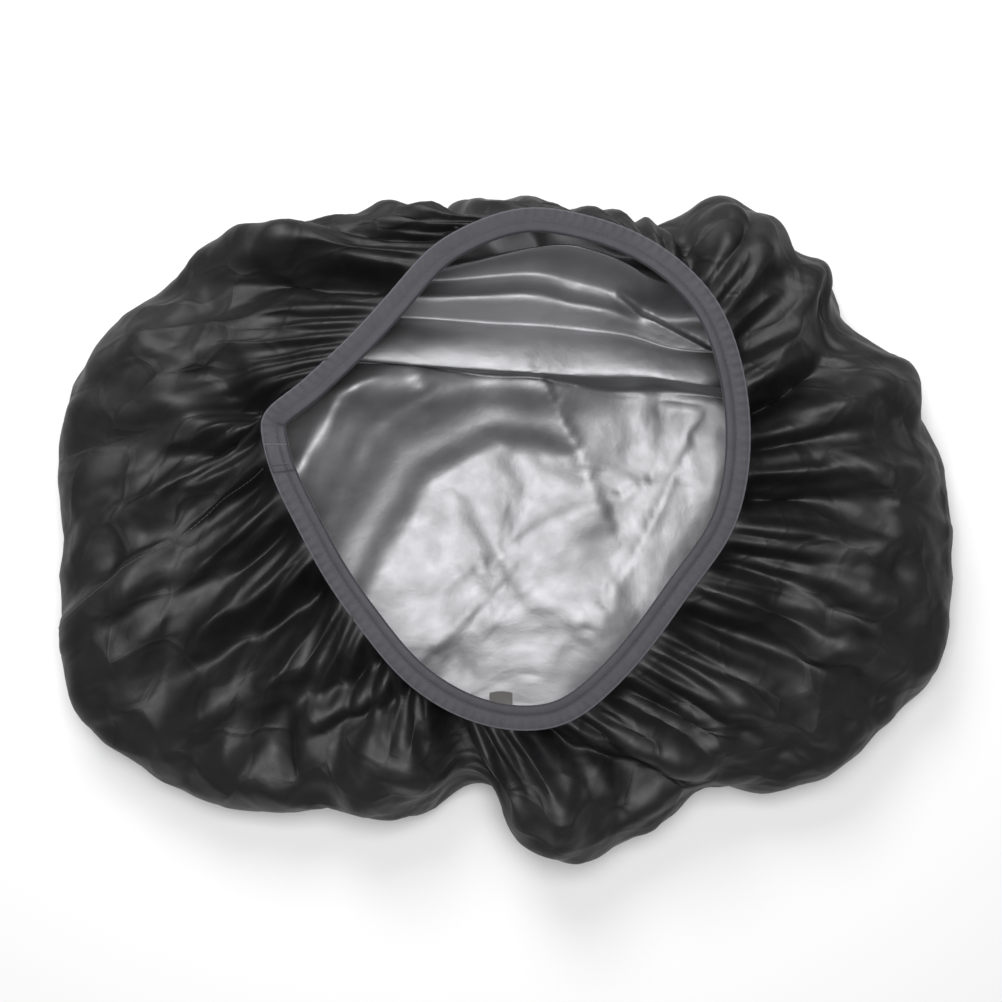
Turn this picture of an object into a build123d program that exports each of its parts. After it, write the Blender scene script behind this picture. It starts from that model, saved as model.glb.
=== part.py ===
"""Spare tire cover, lying on its face panel with the gathered mouth open upward.

The face panel lies on the ground. The band is sewn round it, bulges outward, and is drawn in at
the top by an elastic that runs inside the folded binding of the mouth. All lengths are in mm,
+Z is up, and the origin is under the middle of the cover, at ground level.
"""

import os

from build123d import *

os.makedirs("parts", exist_ok=True)

# Walls of coated cloth, drawn thick enough to stand for their gathers and creases.
cloth = 2.0
clearance = 0.4

# Binding round the mouth: a tape folded over the elastic and the hem of the band.
mouth_height = 119.0
tape_width = 20.0
tape_thickness = 0.8
tape_slot = 3.0
hem_depth = 9.0
elastic_width = 7.0
elastic_thickness = 2.2
elastic_gap = 0.6
stitch_inset = 11.5

# Thread, and the air between it and the cloth it lies on.
thread = 0.7
thread_gap = 0.1

# End of the binding, lapped over its start at the join and held there by a bar tack.
lap_length = 26.0
lap_rise = 0.2
lap_clearance = 1.0
tack_width = 3.0
tack_margin = 2.0

# Row of stitches along the join of the band, clear of the seam and of the binding.
join_stitch_width = 3.0
join_end_margin = 12.0
join_reach = 150.0

# Seam between the face panel and the band.
seam_allowance = 10.0
seam_inset = 8.0
face_panel_margin = 1.0

# Fold of the face panel that stands up behind the middle of the mouth.
fold_height = 66.0
fold_half_width = 24.0

# Care label that hangs inside the mouth, from the underside of the binding.
label_width = 20.0
label_length = 30.0
label_thickness = 0.6
label_x = -2.0
label_y = -159.0
label_thread_margin = 1.0

# How far a cutting body reaches past the piece that it cuts.
overcut = 1.0

# Outline of the cover and the edge of its mouth, as pairs of points on the same gather line.
# Each row is outer x, outer y, mouth x, mouth y. The rows run counterclockwise from the place
# where the ends of the band and of the binding meet.
gathers = [
    (-405, 50, -208, 80),
    (-404, -70, -193, 27),
    (-391, -145, -177, -5),
    (-340, -215, -160, -37),
    (-280, -230, -144, -63),
    (-210, -250, -122, -93),
    (-120, -258, -86, -135),
    (-65, -256, -55, -158),
    (-25, -243, -27, -171),
    (30, -282, 18, -179),
    (95, -277, 53, -173),
    (175, -239, 88, -149),
    (260, -230, 117, -119),
    (340, -196, 142, -87),
    (385, -150, 165, -55),
    (403, -70, 193, -15),
    (404, 5, 209, 35),
    (385, 85, 211, 98),
    (360, 150, 200, 152),
    (322, 182, 184, 188),
    (302, 222, 163, 214),
    (250, 262, 138, 235),
    (185, 281, 105, 253),
    (118, 271, 66, 265),
    (45, 285, 21, 270),
    (-30, 280, -27, 257),
    (-90, 268, -61, 237),
    (-160, 272, -89, 207),
    (-235, 261, -117, 174),
    (-290, 246, -140, 150),
    (-337, 198, -160, 131),
    (-373, 155, -182, 112),
]
outline = [Vector(row[0], row[1]) for row in gathers]
mouth = [Vector(row[2], row[3]) for row in gathers]


def inward(points, distance):
    """The points of a counterclockwise outline, each moved inward by a distance."""
    moved = []
    for number, point in enumerate(points):
        after = points[(number + 1) % len(points)]
        along = (after - points[number - 1]).normalized()
        moved.append(point + Vector(-along.Y, along.X) * distance)
    return moved


def between(starts, ends, share):
    """The points at one share of the way from each start to its end."""
    return [a * (1 - share) + b * share for a, b in zip(starts, ends)]


def region(points, height):
    """A face at a height, bounded by a smooth closed line through the points."""
    with BuildSketch(Plane.XY.offset(height)) as drawn:
        with BuildLine():
            Spline(*[(point.X, point.Y) for point in points], periodic=True)
        make_face()
    return drawn.sketch


def plate(points, low, high):
    """A plate between two heights, bounded by a smooth closed line through the points."""
    with BuildPart() as made:
        extrude(region(points, low), amount=high - low)
    return made.part


def ring(points, outer_inset, inner_inset, low, high):
    """A flat ring between two insets from a closed line, and between two heights."""
    with BuildPart() as made:
        add(plate(inward(points, outer_inset), low, high))
        add(plate(inward(points, inner_inset), low, high), mode=Mode.SUBTRACT)
    return made.part


def finish(part, name):
    """Label a finished piece and write it."""
    part.label = name
    export_step(part, f"parts/{name}.step")


# Profile of the band's outer face, from the seam with the face panel up to the hem. Each row is
# the share of the way from mouth to outline, the inset, and the height.
band_low = cloth + clearance
band_top = mouth_height + cloth / 2
band_profile = [
    (1.0, seam_inset, band_low),
    (1.0, 3.0, 17.0),
    (1.0, 0.0, 42.0),
    (0.93, 0.0, 70.0),
    (0.78, 0.0, 92.0),
    (0.55, 0.0, 107.0),
    (0.28, 0.0, 115.0),
    (0.0, -2.0, band_top),
]


def band_form(depth):
    """The solid inside the band's outer face, at a depth under that face."""
    sections = []
    for share, inset, height in band_profile:
        level = height + depth if height == band_low else height - depth
        edge = between(mouth, outline, share)
        sections.append(region(inward(edge, inset + depth), level))
    with BuildPart() as made:
        loft(sections)
    return made.part


def join_slab(width):
    """An upright slab along the first gather line, where the ends of the band meet."""
    start, end = outline[0], mouth[0]
    middle = Plane(origin=(start + end) / 2, x_dir=end - start, z_dir=(0, 0, 1))
    with BuildPart(middle) as made:
        Box(2 * (end - start).length, width, 3 * mouth_height)
    return made.part


with BuildPart() as band_panel:
    add(band_form(0))
    add(band_form(cloth), mode=Mode.SUBTRACT)
    add(plate(inward(mouth, hem_depth), mouth_height / 2, 2 * mouth_height), mode=Mode.SUBTRACT)
    add(plate(inward(outline, seam_inset + seam_allowance), 0, mouth_height / 2), mode=Mode.SUBTRACT)
    add(join_slab(clearance), mode=Mode.SUBTRACT)
finish(band_panel.part, "band_panel")


# The join of the band's ends is closed by a row of stitches along the inside.
with BuildPart() as band_join_stitches:
    add(band_form(cloth + thread_gap))
    add(band_form(cloth + thread_gap + thread), mode=Mode.SUBTRACT)
    add(join_slab(join_stitch_width), mode=Mode.INTERSECT)
    with Locations((outline[0].X, outline[0].Y, mouth_height / 2)):
        Box(2 * join_reach, 2 * join_reach, mouth_height - 2 * join_end_margin, mode=Mode.INTERSECT)
finish(band_join_stitches.part, "band_join_stitches")


# Face panel: a flat disc of cloth inside the seam, with the roll of its fold lying across it.
# Each fold section is x, y, and the shares of the full width and height there.
fold_sections = [
    (-178, 106, 0.45, 0.2),
    (-110, 112, 0.85, 0.8),
    (0, 113, 1.0, 1.0),
    (110, 117, 1.0, 0.95),
    (192, 110, 0.55, 0.3),
]
seam_line = seam_inset + seam_allowance / 2
groove = thread + thread_gap

with BuildPart() as face_panel:
    for x, y, width_share, height_share in fold_sections:
        with BuildSketch(Plane(origin=(x, y, cloth / 2), x_dir=(0, 1, 0), z_dir=(1, 0, 0))):
            Ellipse(fold_half_width * width_share, fold_height * height_share)
    loft()
    split(bisect_by=Plane.XY.offset(cloth / 2), keep=Keep.TOP)
    add(plate(inward(outline, seam_inset - face_panel_margin), 0, cloth))
    add(ring(outline, seam_line - groove, seam_line + groove, 0, groove), mode=Mode.SUBTRACT)
finish(face_panel.part, "face_panel")

# Rows of thread that sew the face panel to the band: one sunk in the face panel's underside,
# one on top of the seam allowance.
with BuildPart() as face_seam_needle_row:
    add(ring(outline, seam_line - thread / 2, seam_line + thread / 2, thread_gap, thread))
finish(face_seam_needle_row.part, "face_seam_needle_row")

allowance_top = band_low + cloth
bobbin_inset = seam_line + seam_allowance / 2 - 2 * thread
with BuildPart() as face_seam_bobbin_row:
    add(
        ring(
            outline,
            bobbin_inset,
            bobbin_inset + thread,
            allowance_top,
            allowance_top + thread,
        )
    )
finish(face_seam_bobbin_row.part, "face_seam_bobbin_row")

# Binding: two layers of tape joined by the fold at the inner edge, open toward the hem.
slot_low = mouth_height - tape_slot / 2
slot_high = mouth_height + tape_slot / 2
tape_low = slot_low - tape_thickness
tape_high = slot_high + tape_thickness
lap_low = tape_high + lap_rise
lap_high = lap_low + tape_thickness


def at_join(length, width, low, high):
    """A block across the binding where its ends lap, between two heights."""
    inset = inward(mouth, tape_width / 2)[0]
    across = mouth[2] - mouth[-2]
    origin = Vector(inset.X, inset.Y, (low + high) / 2)
    with BuildPart(Plane(origin=origin, x_dir=across, z_dir=(0, 0, 1))) as made:
        Box(length, width, high - low)
    return made.part


with BuildPart() as binding_tape:
    add(ring(mouth, 0, tape_width, tape_low, tape_high))
    add(ring(mouth, -overcut, tape_width - tape_thickness, slot_low, slot_high), mode=Mode.SUBTRACT)
finish(binding_tape.part, "binding_tape")

# The end of the binding that laps over its start.
with BuildPart() as binding_lap:
    add(at_join(lap_length, tape_width, lap_low, lap_high))
finish(binding_lap.part, "binding_lap")

# Elastic inside the fold of the binding, clear of the hem.
elastic_inset = tape_width - tape_thickness - elastic_gap - elastic_width
with BuildPart() as elastic:
    add(
        ring(
            mouth,
            elastic_inset,
            elastic_inset + elastic_width,
            mouth_height - elastic_thickness / 2,
            mouth_height + elastic_thickness / 2,
        )
    )
finish(elastic.part, "elastic")

# Rows of thread along the binding, between the elastic and the hem.
with BuildPart() as binding_needle_row:
    add(ring(mouth, stitch_inset, stitch_inset + thread, tape_high, tape_high + thread))
    add(at_join(lap_length + 2 * lap_clearance, tape_width, tape_high, lap_high), mode=Mode.SUBTRACT)
finish(binding_needle_row.part, "binding_needle_row")

with BuildPart() as binding_bobbin_row:
    add(ring(mouth, stitch_inset, stitch_inset + thread, tape_low - thread, tape_low))
finish(binding_bobbin_row.part, "binding_bobbin_row")

# Bar tack that holds the lapped end down.
with BuildPart() as bar_tack:
    add(at_join(tack_width, tape_width - 2 * tack_margin, lap_high, lap_high + thread))
finish(bar_tack.part, "bar_tack")

# Care label, hanging a little under the row of thread that holds it to the binding.
label_top = tape_low - thread - clearance
with BuildPart(Plane(origin=(label_x, label_y, label_top - label_length / 2))) as care_label:
    Box(label_width, label_thickness, label_length)
finish(care_label.part, "care_label")

with BuildPart(Plane(origin=(label_x, label_y, tape_low - thread / 2))) as label_thread:
    Box(label_width - 2 * label_thread_margin, thread, thread)
finish(label_thread.part, "label_thread")
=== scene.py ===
"""Spare tire cover lying on its face panel, its gathered mouth open upward.

The face panel and the band are laid out in the shape they lie in. A cloth simulation that knows the
lengths of the band's flat pattern then lets its extra cloth buckle into folds. Lengths are in metres.
"""

import math

import bpy
import numpy as np
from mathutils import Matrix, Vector


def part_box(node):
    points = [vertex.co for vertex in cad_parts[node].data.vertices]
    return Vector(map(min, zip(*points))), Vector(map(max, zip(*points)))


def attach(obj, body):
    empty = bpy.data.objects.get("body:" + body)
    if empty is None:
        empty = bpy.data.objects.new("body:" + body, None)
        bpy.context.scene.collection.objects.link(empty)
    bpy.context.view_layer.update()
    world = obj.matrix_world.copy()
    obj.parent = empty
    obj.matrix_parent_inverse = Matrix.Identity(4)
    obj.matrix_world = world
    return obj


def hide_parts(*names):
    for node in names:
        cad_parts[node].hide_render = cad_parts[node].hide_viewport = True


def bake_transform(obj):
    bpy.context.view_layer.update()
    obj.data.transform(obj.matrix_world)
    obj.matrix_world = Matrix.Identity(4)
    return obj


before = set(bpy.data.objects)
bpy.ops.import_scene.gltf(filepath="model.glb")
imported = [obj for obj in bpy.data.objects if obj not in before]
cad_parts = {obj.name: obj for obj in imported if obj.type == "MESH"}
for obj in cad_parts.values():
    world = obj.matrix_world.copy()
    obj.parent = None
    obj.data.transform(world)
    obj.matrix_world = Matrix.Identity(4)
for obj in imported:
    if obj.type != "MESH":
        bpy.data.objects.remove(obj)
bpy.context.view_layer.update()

# The flat pattern: a round face panel, and the width of the band between its two seams.
FACE_RADIUS = 0.375
BAND_WIDTH = 0.35
CLOTH_THICKNESS = 0.0003

# Cells of cloth along each side of the face panel's grid. The band has four columns for each, which
# fit the panel's rim. The grids are made twice as fine after the simulation.
CELLS = 100
COLUMNS = 4 * CELLS
ROWS = round(CELLS * 0.46)
SIMULATED_FRAMES = 20
# How firmly the band is held where it was laid, from 0 to 1, between its seam and its hem.
LOOSE_HOLD = 0.12

MOUTH_CENTRE = np.array([0.0, 0.05])
TAPE_WIDTH = 0.020
# How far the hem reaches into the tape, and how far the seam lies in from the outline.
HEM_DEPTH = 0.009
SEAM_TUCK = 0.045
# Height of the seam in front and at the sides, and how much higher it lies at the back.
SEAM_HEIGHT = 0.008
SEAM_RISE = 0.075
# The least gap between the cloth and the floor, and the lowest that the cloth is laid out.
FLOOR_GAP = 0.0003
LOWEST_LAID = 0.004


# ---------------- numbers and curves


def smooth(start, end, x):
    """0 before start, 1 after end, and a smooth rise between them."""
    t = np.clip((x - start) / (end - start), 0, 1)
    return t * t * (3 - 2 * t)


def turn_gap(a, b):
    """The signed gap between two places on a closed line, as shares of its turn."""
    return (a - b + 0.5) % 1 - 0.5


def unit(vectors):
    return vectors / (np.linalg.norm(vectors, axis=-1, keepdims=True) + 1e-12)


def inset(line, distance):
    """A closed counterclockwise plan line, moved inward."""
    along = unit(np.roll(line, -1, axis=0) - np.roll(line, 1, axis=0))
    return line + np.c_[-along[:, 1], along[:, 0]] * distance


def relaxed(line, passes):
    """A closed line with its small kinks smoothed away."""
    for _ in range(passes):
        line = (np.roll(line, 1, axis=0) + 2 * line + np.roll(line, -1, axis=0)) / 4
    return line


def mesh_arrays(mesh):
    """The vertices and edges of a mesh as arrays."""
    vertices = np.empty(len(mesh.vertices) * 3, np.float32)
    mesh.vertices.foreach_get("co", vertices)
    edges = np.empty(len(mesh.edges) * 2, np.int32)
    mesh.edges.foreach_get("vertices", edges)
    return vertices.reshape(-1, 3).astype(float), edges.reshape(-1, 2)


def outer_line(node, count):
    """The outermost plan line of a CAD node: evenly spaced points, counterclockwise from -X."""
    vertices, edges = mesh_arrays(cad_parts[node].data)
    plan = vertices[:, :2] - MOUTH_CENTRE
    starts, ends = plan[edges[:, 0]], plan[edges[:, 1]]
    radii = []
    angles = math.pi + np.linspace(0, 2 * math.pi, 360, endpoint=False)
    for angle in angles:
        ray = np.array([math.cos(angle), math.sin(angle)])
        side_a = ray[0] * starts[:, 1] - ray[1] * starts[:, 0]
        side_b = ray[0] * ends[:, 1] - ray[1] * ends[:, 0]
        crossed = side_a * side_b < 0
        share = side_a[crossed] / (side_a[crossed] - side_b[crossed])
        hits = starts[crossed] + (ends[crossed] - starts[crossed]) * share[:, None]
        radii.append((hits @ ray).max())
    points = MOUTH_CENTRE + np.c_[np.cos(angles), np.sin(angles)] * np.array(radii)[:, None]
    closed = np.vstack([points, points[:1]])
    lengths = np.r_[0, np.cumsum(np.linalg.norm(np.diff(closed, axis=0), axis=1))]
    wanted = np.arange(count) / count * lengths[-1]
    return np.c_[np.interp(wanted, lengths, closed[:, 0]), np.interp(wanted, lengths, closed[:, 1])]


def wave_noise(points, shortest, longest, count, seed):
    """Smooth noise at 3D points: waves of random direction, and of lengths in a range."""
    random = np.random.default_rng(seed)
    directions = unit(random.normal(size=(count, 3)))
    lengths = np.exp(random.uniform(math.log(shortest), math.log(longest), count))
    phases = random.uniform(0, 2 * math.pi, count)
    total = np.zeros(len(points))
    for direction, length, phase in zip(directions, lengths, phases):
        total += np.cos(points @ (direction * 2 * math.pi / length) + phase) * length / longest
    return total / math.sqrt(count / 2)


def uneven_wave(turns, count, unevenness, seed):
    """A wave round a closed line, whose crests are unevenly spaced."""
    random = np.random.default_rng(seed)
    drift = sum(
        random.normal(0, unevenness / k) * np.sin(2 * math.pi * (k * turns + random.random()))
        for k in range(1, 9)
    )
    return np.sin(2 * math.pi * count * turns + 2 * drift)


# ---------------- where the cloth lies

# Shares of a turn by which the gathers slant from the outline to the mouth.
MOUTH_SLANT = 0.065

# The deep valleys between the band's lobes: where each meets the mouth and the outline, as shares
# of a turn from -X, its depth, and how strongly it goes on to the outline.
VALLEYS = [
    (0.844, 0.919, 0.042, 1.0),
    (0.954, 0.935, 0.044, 0.2),
    (0.979, 0.998, 0.024, 0.9),
    (0.008, 0.054, 0.030, 1.0),
    (0.044, 0.078, 0.028, 0.8),
    (0.085, 0.112, 0.052, 0.8),
    (0.144, 0.146, 0.028, 0.7),
    (0.171, 0.165, 0.026, 1.0),
    (0.198, 0.260, 0.044, 1.0),
    (0.262, 0.360, 0.034, 1.0),
    (0.319, 0.398, 0.022, 1.0),
    (0.381, 0.450, 0.028, 1.0),
    (0.427, 0.473, 0.026, 0.9),
    (0.471, 0.533, 0.042, 0.3),
    (0.500, 0.569, 0.024, 0.7),
    (0.523, 0.617, 0.054, 1.0),
    (0.567, 0.648, 0.026, 0.5),
    (0.625, 0.721, 0.028, 1.0),
    (0.696, 0.752, 0.012, 0.3),
    (0.752, 0.798, 0.018, 0.8),
    (0.800, 0.860, 0.020, 0.8),
]

# How much deeper than listed the cloth starts, because it springs back as it settles.
VALLEY_GAIN = 1.3

# The gathers next to the mouth and the pleats between mouth and outline: how many, and how deep.
GATHERS, GATHER_DEPTH = 84, 0.0060
PLEATS, PLEAT_DEPTH = 37, 0.004
# How far the band's lobes swell.
PUFF = 0.014

# The band's profile: share of the way from mouth to outline, inset from it, height.
BAND_PROFILE = [
    (1.00, 0.018, 0.008),
    (1.00, 0.009, 0.040),
    (0.93, 0.004, 0.072),
    (0.78, 0.000, 0.094),
    (0.55, 0.000, 0.108),
    (0.28, 0.000, 0.115),
]

# Below this height, the band is drawn inward at the back.
LOW_AT_BACK = 0.035

# The roll of cloth across the face panel: its middle line, height and lean, and the shares of the
# panel's grid, from -1 in front to 1 behind, that it takes up.
ROLL_Y = 0.142
ROLL_HALF_WIDTH = 0.022
ROLL_HEIGHT = 0.064
ROLL_LEAN = 0.021
ROLL_SHARES = (0.22, 0.66)

# Height of the panel behind the roll, up to the seam: pairs of y and height.
WALL_PROFILE = ([0.125, 0.150, 0.180, 0.210, 0.240], [0.0, 0.004, 0.022, 0.046, 0.080])

# Edge of the fold behind the roll on the right, and how far the panel drops beyond it.
FLAP_EDGE = [(0.062, 0.290), (0.070, 0.250), (0.082, 0.232), (0.125, 0.192), (0.190, 0.160), (0.250, 0.150)]
FLAP_DROP = 0.038

# Foot of the slope up to the left and behind: a plan line with the slope on its left. The slope
# gets steeper from a distance on.
SLOPE_FOOT = [(-0.180, -0.160), (-0.130, -0.085), (-0.066, 0.039), (-0.006, 0.071), (0.060, 0.058)]
SLOPE_GRADE = 0.65
STEEP_FROM = 0.07
STEEP_GRADE = 0.90

# Creases of the face panel: plan points, height, and the widths of its left and right flanks.
CREASES = [
    (
        [(-0.130, -0.085), (-0.095, -0.010), (-0.066, 0.039), (-0.006, 0.071), (0.050, 0.060)],
        0.003,
        0.005,
        0.100,
    ),
    ([(0.052, 0.104), (0.087, 0.026)], 0.006, 0.006, 0.030),
    ([(-0.005, -0.030), (0.040, 0.000), (0.090, 0.022)], 0.005, 0.006, 0.040),
    ([(0.100, -0.060), (0.130, -0.010), (0.165, 0.060)], 0.006, 0.008, 0.040),
    ([(-0.060, -0.110), (-0.010, -0.060)], 0.004, 0.020, 0.007),
    ([(0.030, -0.130), (0.085, -0.070)], 0.004, 0.007, 0.025),
    ([(-0.030, 0.010), (0.020, -0.060)], 0.003, 0.015, 0.007),
    ([(-0.071, 0.112), (-0.079, 0.146)], 0.005, 0.005, 0.011),
    ([(0.118, 0.130), (0.150, 0.119), (0.185, 0.112)], 0.005, 0.011, 0.004),
]

tape_low, tape_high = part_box("binding_tape")
HEM_HEIGHT = (tape_low.z + tape_high.z) / 2

turns = np.arange(COLUMNS) / COLUMNS
# The hem rises and falls a little on its way round.
hem_line = HEM_HEIGHT + 0.0016 * np.sin(2 * math.pi * (3 * turns + 0.2))
hem_line = hem_line + 0.0011 * np.sin(2 * math.pi * (7 * turns + 0.6))
outline = outer_line("band_panel", COLUMNS)
tape_edge = relaxed(outer_line("binding_tape", COLUMNS), 3)
mouth = np.roll(tape_edge, round(MOUTH_SLANT * COLUMNS), axis=0)

# The seam is tucked under the band in front and at the sides, and lies high at the back.
at_back = smooth(0.10, 0.02, np.abs(turns - 0.75))[:, None]
seam_plan = relaxed(inset(outline, SEAM_TUCK), COLUMNS // 80)
seam_plan = seam_plan * (1 - at_back) + inset(mouth, 0.020) * at_back
seam = np.c_[seam_plan, SEAM_HEIGHT + SEAM_RISE * at_back]


def rim_cells(cells):
    """Grid places round the face panel's rim, counterclockwise from the middle of the -X side."""
    half = cells // 2
    return np.array(
        [(0, j) for j in range(half, 0, -1)]
        + [(i, 0) for i in range(cells)]
        + [(cells, j) for j in range(cells)]
        + [(i, cells) for i in range(cells, 0, -1)]
        + [(0, j) for j in range(cells, half, -1)]
    )


def between_rims(rim_grid, across, along):
    """Points between the four sides of a grid whose rim is known, at places from -1 to 1."""
    a, b = (across + 1) / 2, (along + 1) / 2

    def on_side(side, share):
        low = np.clip(np.floor(share * CELLS).astype(int), 0, CELLS - 1)
        part = (share * CELLS - low)[..., None]
        return side[low] * (1 - part) + side[low + 1] * part

    left, right = on_side(rim_grid[0], b), on_side(rim_grid[-1], b)
    front, back = on_side(rim_grid[:, 0], a), on_side(rim_grid[:, -1], a)
    a, b = a[..., None], b[..., None]
    corners = (1 - a) * (1 - b) * rim_grid[0, 0] + a * (1 - b) * rim_grid[-1, 0]
    corners = corners + (1 - a) * b * rim_grid[0, -1] + a * b * rim_grid[-1, -1]
    return (1 - a) * left + a * right + (1 - b) * front + b * back - corners


def beside_line(x, y, line):
    """Each place's distance from a plan line, and whether it is on the line's left."""
    nearest = np.full(x.shape, 9.0)
    on_left = np.zeros(x.shape, bool)
    for (ax, ay), (bx, by) in zip(line[:-1], line[1:]):
        dx, dy = bx - ax, by - ay
        share = np.clip(((x - ax) * dx + (y - ay) * dy) / (dx * dx + dy * dy), 0, 1)
        ex, ey = x - ax - share * dx, y - ay - share * dy
        gap = np.hypot(ex, ey)
        closer = gap < nearest
        nearest = np.where(closer, gap, nearest)
        on_left = np.where(closer, dx * ey - dy * ex > 0, on_left)
    return nearest, on_left


def crease_height(x, y, line, height, left_width, right_width):
    """The height that a sharp-edged crease along a plan line adds at each place."""
    nearest, on_left = beside_line(x, y, line)
    return height * np.exp(-nearest / np.where(on_left, left_width, right_width))


def beyond_line(x, y, line):
    """How far each place is to the left of a plan line, or 0 to its right."""
    nearest, on_left = beside_line(x, y, line)
    return np.where(on_left, nearest, 0)


def lay_face():
    """The face panel's grid as it lies, and the same grid flat."""
    side = np.linspace(-1, 1, CELLS + 1)
    across, along = np.meshgrid(side, side, indexing="ij")
    bent_a = math.sqrt(2) * np.sin(math.pi / 4 * across)
    bent_b = math.sqrt(2) * np.sin(math.pi / 4 * along)
    flat_x = bent_a * np.sqrt(1 - bent_b**2 / 2) * FACE_RADIUS
    flat_y = bent_b * np.sqrt(1 - bent_a**2 / 2) * FACE_RADIUS
    flat = np.stack([flat_x, flat_y, np.zeros_like(flat_x)], -1)

    rim_grid = np.zeros((CELLS + 1, CELLS + 1, 3))
    rim = rim_cells(CELLS)
    rim_grid[rim[:, 0], rim[:, 1]] = seam
    front, back = rim_grid[:, 0, 1], rim_grid[:, -1, 1]
    roll_from, roll_to = ROLL_SHARES
    near_middle = smooth(0.85, 0.60, np.abs(across))
    shifted = np.empty_like(along)
    for column, (low, high) in enumerate(zip(front, back)):
        laid_from = (ROLL_Y - ROLL_HALF_WIDTH - low) / (high - low) * 2 - 1
        laid_to = (ROLL_Y + ROLL_HALF_WIDTH - low) / (high - low) * 2 - 1
        shifted[column] = np.interp(side, [-1, roll_from, roll_to, 1], [-1, laid_from, laid_to, 1])
    laid_along = along * (1 - near_middle) + shifted * near_middle
    laid = between_rims(rim_grid, across, laid_along)

    x, y = laid[..., 0].copy(), laid[..., 1].copy()
    over_roll = np.sin(math.pi * np.clip((along - roll_from) / (roll_to - roll_from), 0, 1))
    to_rim = 1 - np.maximum(np.abs(across), np.abs(along))
    uneven_crest = 1 + 0.03 * np.sin(2 * math.pi * (x / 0.13 + 0.2))
    roll = ROLL_HEIGHT * uneven_crest * near_middle * over_roll**0.5
    wall = np.interp(y, *WALL_PROFILE) * smooth(0.42, 0.24, np.abs(x))
    up_slope = beyond_line(x, y, SLOPE_FOOT)
    folds = 0.0030 * np.sin(2 * math.pi * (up_slope / 0.058 + 0.6 * y)) * smooth(0, 0.03, up_slope)
    slope = SLOPE_GRADE * up_slope + STEEP_GRADE * np.maximum(up_slope - STEEP_FROM, 0) + folds
    slope = np.minimum(slope, 0.095) * smooth(-0.30, -0.20, x) * smooth(0.18, 0.11, y) * smooth(0.12, 0.02, x)
    wall = wall - FLAP_DROP * smooth(0, 0.012, beyond_line(x, y, FLAP_EDGE))
    height = 0.003 + np.maximum(np.maximum(roll, wall), slope)
    for crease in CREASES:
        height = height + crease_height(x, y, *crease)
    waves = wave_noise(flat.reshape(-1, 3), 0.05, 0.15, 30, 9).reshape(x.shape)
    height = height + 0.002 * (waves + 1.2)
    rim_height = between_rims(rim_grid, across, along)[..., 2]
    height = rim_height + (height - rim_height) * smooth(0, 0.14, to_rim)
    laid[..., 1] = y - near_middle * ROLL_LEAN * over_roll**2
    laid[..., 2] = np.maximum(height, LOWEST_LAID)
    return laid, flat


def resample_down(rows, count):
    """Rows of points, joined down each column by a smooth curve and spaced evenly along it."""
    padded = np.concatenate([2 * rows[:1] - rows[1:2], rows, 2 * rows[-1:] - rows[-2:-1]])
    curve = []
    for p0, p1, p2, p3 in zip(padded, padded[1:], padded[2:], padded[3:]):
        for t in np.linspace(0, 1, 12, endpoint=False):
            cubic = (2 * p0 - 5 * p1 + 4 * p2 - p3) * t**2 + (-p0 + 3 * p1 - 3 * p2 + p3) * t**3
            curve.append(0.5 * (2 * p1 + (p2 - p0) * t + cubic))
    curve = np.array(curve + [rows[-1]])
    steps = np.linalg.norm(np.diff(curve, axis=0), axis=2)
    lengths = np.vstack([np.zeros(steps.shape[1]), np.cumsum(steps, axis=0)])
    spaced = np.empty((count + 1, rows.shape[1], 3))
    for column in range(rows.shape[1]):
        wanted = np.linspace(0, lengths[-1, column], count + 1)
        for axis in range(3):
            spaced[:, column, axis] = np.interp(wanted, lengths[:, column], curve[:, column, axis])
    return spaced


def valley_depth(up):
    """How deep the valleys between the lobes are, for rows from seam (0) to hem (1)."""
    depth = np.zeros((len(up), COLUMNS))
    hem_fade = smooth(1.0, 0.90, up)
    for mouth_turn, outline_turn, deep, reach in VALLEYS:
        start = mouth_turn + MOUTH_SLANT
        line = start + turn_gap(outline_turn, start) * smooth(1.0, 0.3, up)
        half_width = 0.016 + 0.018 * smooth(1.0, 0.3, up)
        sides = np.clip(1 - np.abs(turn_gap(turns, line)) / half_width, 0, 1) ** 1.2
        outward = reach * smooth(0.05, 0.6, up) * 0.7 + (1 - 0.7 * reach) * smooth(0.5, 0.85, up)
        depth = np.maximum(depth, deep * hem_fade * outward * sides)
    return VALLEY_GAIN * depth


def lay_band():
    """The band's rows of points as they lie, from the seam to the hem, and its outward normals."""
    rows = [seam]
    for share, inward, height in BAND_PROFILE:
        plan = inset(mouth * (1 - share) + outline * share, inward)
        if height < LOW_AT_BACK:
            plan = plan * (1 - at_back) + inset(plan, 0.006) * at_back
        rows.append(np.c_[plan, np.full(COLUMNS, height)])
    for inward in (0, HEM_DEPTH):
        rows.append(np.c_[inset(mouth, inward), hem_line])
    band = resample_down(np.array(rows), ROWS)
    up = np.linspace(0, 1, ROWS + 1)[:, None]
    round_it = np.roll(band, -1, axis=1) - np.roll(band, 1, axis=1)
    normals = unit(np.cross(round_it, np.gradient(band, axis=0)))
    gathers = GATHER_DEPTH * smooth(0.55, 0.88, up) * smooth(0.975, 0.92, up)
    gathers = gathers * uneven_wave(turns, GATHERS, 1.2, 1)
    pleats = PLEAT_DEPTH * smooth(0.2, 0.6, up) * smooth(0.975, 0.75, up)
    pleats = pleats * uneven_wave(turns, PLEATS, 1.5, 2)
    puff = PUFF * smooth(0, 0.35, up) * smooth(0.9, 0.5, up)
    return band + normals * (gathers + pleats + puff - valley_depth(up))[..., None], normals


# ---------------- the simulated cloth


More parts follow.
